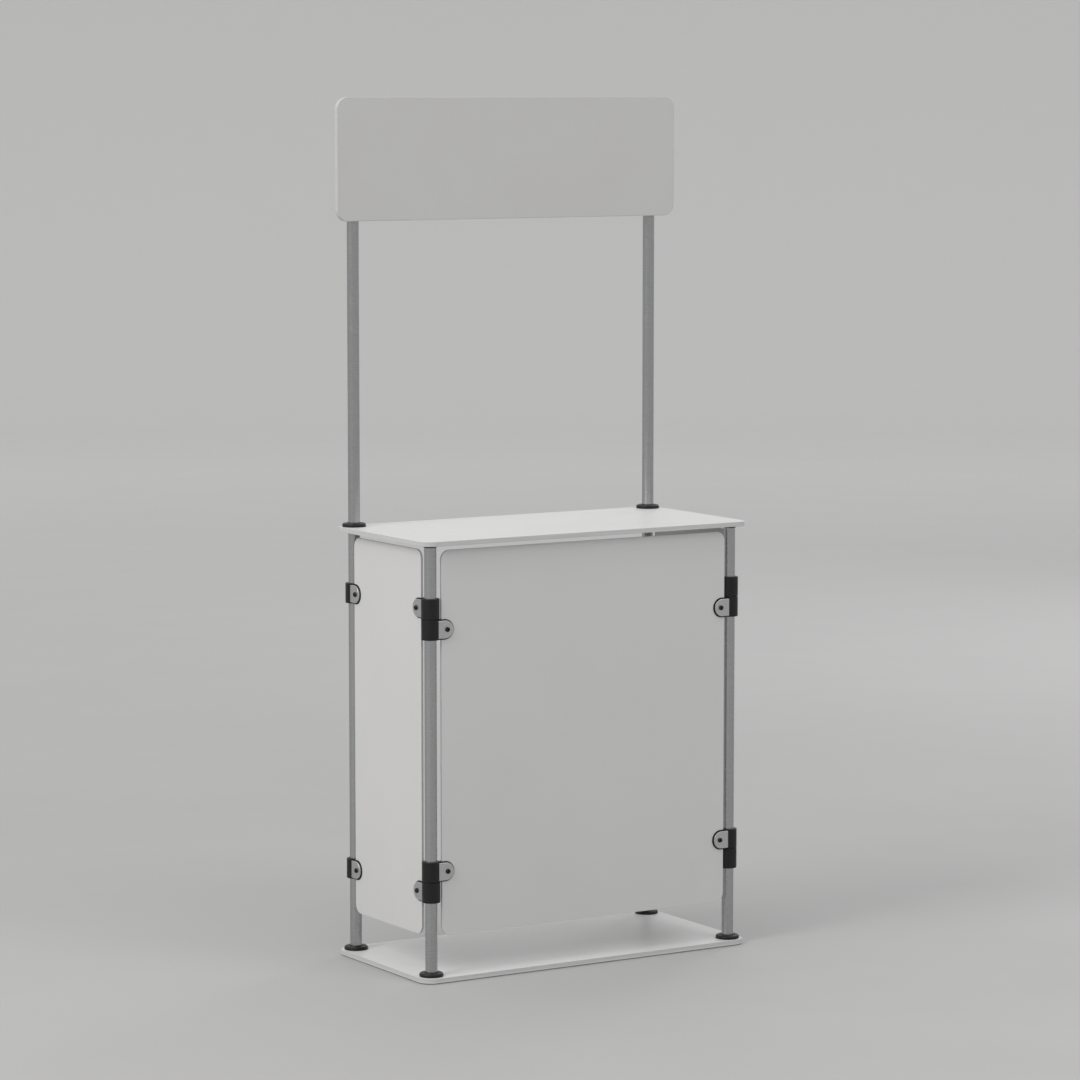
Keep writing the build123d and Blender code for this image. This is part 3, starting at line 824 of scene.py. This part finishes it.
def rosette_profile(rim, bore, sunk):
    """Domed flange: a short upright rim, a round shoulder, a shallow groove and a raised lip.
    Its lowest part, sunk deep, stands in a seat."""
    chamfer = 0.4 * MM
    ease = 0.3 * MM
    lip_round = 0.5 * MM
    groove = 0.35 * MM
    shoulder_end = 80  # degrees: it runs into the dome a little before its top
    dome_steps = 6
    edge = sunk + FLANGE_EDGE
    height = sunk + FLANGE_HEIGHT
    lip = height - lip_round
    dome_end = bore + FLANGE_LIP
    dome_start = rim - FLANGE_SHOULDER
    top = edge + FLANGE_SHOULDER
    slope = (height - top) / (bore - dome_start)
    dome = [dome_start + (dome_end - dome_start) * k / dome_steps for k in range(1, dome_steps)]
    return (
        [(bore, 0), (rim - chamfer, 0), (rim, chamfer)]
        + corner((dome_start, edge), FLANGE_SHOULDER, 0, shoulder_end, steps=10)
        + [(r, top + slope * (r - dome_start)) for r in dome]
        + [(dome_end + groove, lip - groove), (dome_end, lip - groove)]
        + corner((dome_end - lip_round, lip), lip_round, 0, 90)
        + [(bore + ease, height), (bore, height - ease)]
    )


def base_flanges():
    for leg in LEGS:
        node = leg.replace("leg", "base_flange")
        mesh = spin(node, rosette_profile(radius_of(node), TUBE + FIT, 0))
        place(node + "_rosette", mesh, "black_plastic", "base", foot_of(node), node)


def post_flanges():
    """The flanges on the counter, each with the spigot that stands up inside its post."""
    for node in ("post_flange_left", "post_flange_right"):
        height = axis_of(node)[1]
        floor = FLANGE_SEAT + SOCKET_FLOOR
        profile = rosette_profile(radius_of(node), TUBE + FIT, FLANGE_SEAT)[1:]
        profile += [(TUBE + FIT, floor), (SPIGOT, floor), (SPIGOT, height - SPIGOT_LEAD)]
        profile += [(SPIGOT - SPIGOT_LEAD, height), (M6_HOLE, height), (M6_HOLE, 0)]
        mesh = spin(node, profile)
        place(node + "_socket", mesh, "black_plastic", "counter", foot_of(node), node)


def plugs():
    """Rims and spigots under the counter, hollow, with the seat of the screw inside."""
    ease = 0.3 * MM
    for leg in LEGS:
        node = leg.replace("leg", "counter_plug")
        height = axis_of(node)[1]
        rim = radius_of(node)
        rim_low = height - PLUG_RIM
        seat = height - PLUG_SEAT
        profile = (
            [(PLUG_BORE, 0), (SPIGOT - SPIGOT_LEAD, 0), (SPIGOT, SPIGOT_LEAD), (SPIGOT, rim_low)]
            + corner((rim - PLUG_RIM_ROUND, rim_low + PLUG_RIM_ROUND), PLUG_RIM_ROUND, -90, 0)
            + [(rim, height - ease), (rim - ease, height)]
            + [(M6_HOLE, height), (M6_HOLE, seat), (PLUG_BORE, seat)]
        )
        mesh = spin(node, profile)
        place(node + "_moulding", mesh, "black_plastic", "counter", foot_of(node), node)


def post_caps():
    for node in ("post_cap_left", "post_cap_right"):
        height = axis_of(node)[1]
        rim = radius_of(node)
        rim_low = height - CAP_RIM
        profile = (
            [(SPIGOT - SPIGOT_LEAD, 0), (SPIGOT, SPIGOT_LEAD), (SPIGOT, rim_low), (rim, rim_low)]
            + corner((rim - CAP_ROUND, height - CAP_ROUND), CAP_ROUND, 0, 90, steps=8)
        )
        mesh = spin(node, profile, closed=False)
        place(node + "_moulding", mesh, "black_plastic", "header", foot_of(node), node)


def floor_pads():
    low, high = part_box("floor_pads")
    thick = high.z - low.z
    ease = PAD_ROUND / 2
    profile = (
        [(PAD - ease, 0), (PAD, ease)]
        + corner((PAD - PAD_ROUND, thick - PAD_ROUND), PAD_ROUND, 0, 90)
    )
    pad = spin("floor_pad", profile, closed=False)
    copies = []
    for x in (low.x + PAD, high.x - PAD):
        for y in (low.y + PAD, high.y - PAD):
            copies.append((pad, Matrix.Translation((x, y, low.z))))
    place("floor_pads_set", joined("floor_pads", copies), "black_rubber", "base", None, "floor_pads")


# ------------------------------------------------------------------ clamps
# A clamp's own frame: the leg's axis through the origin, x to the tip of the jaws, y out of the
# stand, z along the leg. A clamp is the same both ways up, so one set of meshes serves all.
FLAT = Matrix.Rotation(math.radians(-90), 4, "X")  # stands a jaw's drawing up: its z points along +y


def laid(mesh, x=0.0):
    """Stands a mesh drawn along z up along y, at a distance x from the leg's axis."""
    mesh.transform(FLAT @ Matrix.Translation((x, 0, 0)))
    return mesh


def clamp_meshes(collar, reach, height):
    """One mesh for each piece of a clamp."""
    radius = height / 2
    centre = reach - radius
    bore = TUBE + FIT
    ring = spin("clamp_ring", tube_profile(collar, bore, -radius, radius, COLLAR_ROUND))
    inner_span = (INNER_JAW_IN, PANEL_IN)
    inner = jaw_slab("inner_jaw", radius, centre, INNER_JAW_ROOT, inner_span, INNER_JAW_EASES)
    notch = box_mesh((JAW_ROOT, PANEL_OUT, -height), (2 * collar, 2 * collar, height))
    pocket_width = NUT + 2 * FIT
    pocket_rings = [hexagon(pocket_width, 0), hexagon(pocket_width, INNER_JAW_IN + NUT_POCKET)]
    pocket = skin("pocket", pocket_rings, closed=False)
    screw_hole = rod(M6_HOLE, 0, 2 * OUTER_JAW_OUT)
    set_hole = rod(SET_SCREW_HOLE, -2 * collar, -bore + PAST)
    body = combined(
        "clamp_body",
        ring,
        ("UNION", laid(inner)),
        ("DIFFERENCE", notch),
        ("DIFFERENCE", laid(pocket, SCREW_AT)),
        ("DIFFERENCE", laid(screw_hole.copy(), SCREW_AT)),
        ("DIFFERENCE", laid(set_hole)),
    )
    lined = PANEL_OUT + LINING
    jaw_span = (lined, OUTER_JAW_OUT)
    jaw = jaw_slab("jaw", radius - BORDER, centre, JAW_ROOT, jaw_span, JAW_EASES)
    pad = jaw_slab("pad", radius, centre, JAW_ROOT, (PANEL_OUT, lined), PAD_EASES)
    cut = ("DIFFERENCE", laid(screw_hole, SCREW_AT))
    return {
        "body": body,
        "jaw": combined("clamp_jaw", laid(jaw), cut),
        "pad": combined("clamp_pad", laid(pad), cut),
        "screw": screw_mesh(),
        "nut": nut_mesh(),
    }


def screw_mesh():
    """Button-head screw with a hexagon socket, head outwards."""
    lead = 0.5 * MM
    ease = 0.2 * MM
    edge = 0.9 * MM
    flat = BUTTON_SOCKET / 2 + 0.5 * MM
    mouth = 0.15 * MM
    socket_deep = 2 * MM
    face = OUTER_JAW_OUT
    top = face + BUTTON_CROWN
    tip = face - CLAMP_SCREW_LENGTH
    rings = [circle(M6 - lead, tip), circle(M6, tip + lead), circle(M6, face)]
    rings += [circle(BUTTON_HEAD - ease, face), circle(BUTTON_HEAD, face + ease)]
    rings += [circle(r, face + h) for r, h in domed(BUTTON_HEAD, edge, BUTTON_CROWN, flat)]
    rings += [hexagon(BUTTON_SOCKET + 2 * mouth, top), hexagon(BUTTON_SOCKET, top - mouth)]
    rings.append(hexagon(BUTTON_SOCKET, top - socket_deep))
    return laid(skin("screw", rings, closed=False), SCREW_AT)


def nut_mesh():
    """Plain hexagon nut in its pocket, chamfered outside."""
    low = INNER_JAW_IN - NUT_POCKET
    high = INNER_JAW_IN + NUT_POCKET
    lead = 0.45 * MM
    chamfer = 0.3 * MM
    rings = [circle(M6_HOLE, high), circle(M6_HOLE, low + lead), circle(M6_HOLE + lead, low)]
    rings += [hexagon(NUT - 2 * chamfer, low), hexagon(NUT, low + chamfer), hexagon(NUT, high)]
    return laid(skin("nut", rings, closed=True), SCREW_AT)


def wood_screws():
    """Pan-head screws with a cross recess that hold the saddles to the sign, heads to the rear."""
    point = 0.4 * MM
    taper = 3 * MM
    edge = 0.5 * MM
    flat = 1.4 * MM
    wing = 2.2 * MM
    slit = 0.45 * MM
    deep = 0.8 * MM
    turn = math.radians(37)  # between one screw's recess and the next one's
    profile = [(point, -WOOD_SCREW_LENGTH), (WOOD_SCREW, taper - WOOD_SCREW_LENGTH)]
    profile += [(WOOD_SCREW, 0), (PAN_HEAD, 0)] + domed(PAN_HEAD, edge, PAN_HEAD_RISE, flat)
    wide = box_mesh((-wing, -slit, deep), (wing, slit, PAN_HEAD))
    tall = box_mesh((-slit, -wing, deep), (slit, wing, PAN_HEAD))
    blank = spin("pan_head", profile, closed=False)
    screw = combined("pan_head_screw", blank, ("DIFFERENCE", wide), ("DIFFERENCE", tall))
    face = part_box("header_screws")[1].y - PAN_HEAD_RISE
    copies = []
    for number, spot in enumerate(saddle_screw_spots()):
        spot.y = face
        driven = Matrix.Rotation(turn * number, 4, "Z")
        copies.append((screw, Matrix.Translation(spot) @ FLAT @ driven))
    screws = joined("header_screws", copies)
    place("header_screws_set", screws, "zinc_screw", "header", None, "header_screws")


def clamps():
    size = centre_of("front_clamp_left_lower")[1]
    collar = size.y / 2
    meshes = clamp_meshes(collar, size.x - collar, size.z)
    everywhere = []
    for panel, about in PANELS.items():
        out = about["out"]
        here = []
        for name, axis, inward in clamp_spots(panel):
            matrix = Matrix((inward, out, inward.cross(out))).transposed().to_4x4()
            matrix.translation = axis
            here.append(matrix)
            place(name + "_moulding", meshes["body"], "black_plastic", "base", matrix, name)
        node = panel + "_panel_jaws"
        plates = joined(node, [(meshes["jaw"], matrix) for matrix in here])
        place(node + "_plates", plates, "jaw_metal", "base", None, node)
        everywhere += here
    shared = [
        ("pad", "black_rubber", "jaw_pads"),
        ("screw", "black_screw", "clamp_screws"),
        ("nut", "zinc_screw", "clamp_nuts"),
    ]
    for part, slot, node in shared:
        whole = joined(node, [(meshes[part], matrix) for matrix in everywhere])
        place(node + "_set", whole, slot, "base", None, node)


# ------------------------------------------------------------------ stage
def studio():
    """Pale floor that sweeps up into a round wall, far outside every camera position."""
    middle_hole = 1 * MM  # out of sight under the base
    flat_radius = 4.0
    floor_radius = 13.0
    sweep = 5.0
    profile = [(middle_hole, 0), (flat_radius, 0), (floor_radius, 0)]
    profile += corner((floor_radius, sweep), sweep, -90, 0, CORNER_STEPS)[1:]
    mesh = spin("studio_floor", profile, closed=False, caps=False)
    if mesh.polygons[0].normal.z < 0:  # an open sheet may come out either way up
        mesh.flip_normals()
    mesh.materials.append(studio_floor("floor_paint"))
    floor = bpy.data.objects.new("studio_floor", mesh)
    bpy.context.scene.collection.objects.link(floor)


LIGHT_AIM = Vector((0, 0, 0.8))  # on the object's middle line, a little under the counter


def softbox(name, direction, distance, size, level, tint=(1, 1, 1)):
    """A rectangular soft light. Level is what it adds to a white surface that faces it."""
    lamp = bpy.data.lights.new(name, "AREA")
    lamp.shape = "RECTANGLE"
    lamp.size = size[0]
    lamp.size_y = size[1]
    lamp.energy = level * (math.pi * distance) ** 2
    lamp.color = tint
    holder = bpy.data.objects.new(name, lamp)
    towards = Vector(direction).normalized()
    holder.location = LIGHT_AIM + distance * towards
    holder.rotation_euler = (-towards).to_track_quat("-Z", "Y").to_euler()
    bpy.context.scene.collection.objects.link(holder)


def lights():
    world = bpy.data.worlds.new("studio")
    bpy.context.scene.world = world
    world.use_nodes = True
    sky = world.node_tree.nodes["Background"]
    sky.inputs["Color"].default_value = (1, 1, 1, 1)
    sky.inputs["Strength"].default_value = 0.78
    warm = (1, 0.99, 0.975)
    cool = (0.975, 0.99, 1)
    softbox("key", (-0.82, -0.12, 0.55), distance=6.5, size=(2.6, 3.4), level=0.40, tint=warm)
    softbox("top", (0.1, 0.35, 0.95), distance=6.0, size=(4.0, 2.5), level=0.04)
    softbox("rim", (0.85, 0.5, 0.45), distance=6.5, size=(1.4, 3.4), level=0.10, tint=cool)
    softbox("fill", (0.35, -0.70, 0.60), distance=6.5, size=(2.2, 2.2), level=0.12)


def camera():
    data = bpy.data.cameras.new("camera")
    data.sensor_width = SENSOR
    data.lens = LENS
    holder = bpy.data.objects.new("camera", data)
    level = math.cos(VIEW_ELEVATION)
    back = Vector(
        (math.sin(VIEW_AZIMUTH) * level, -math.cos(VIEW_AZIMUTH) * level, math.sin(VIEW_ELEVATION))
    )
    holder.location = VIEW_AIM + VIEW_DISTANCE * back
    holder.rotation_euler = (-back).to_track_quat("-Z", "Y").to_euler()
    bpy.context.scene.collection.objects.link(holder)
    bpy.context.scene.camera = holder


finish_cad_nodes()
boards()
header()
panels()
tubes()
base_flanges()
post_flanges()
plugs()
post_caps()
floor_pads()
clamps()
wood_screws()
studio()
lights()
camera()
bpy.context.scene.view_settings.view_transform = "Standard"
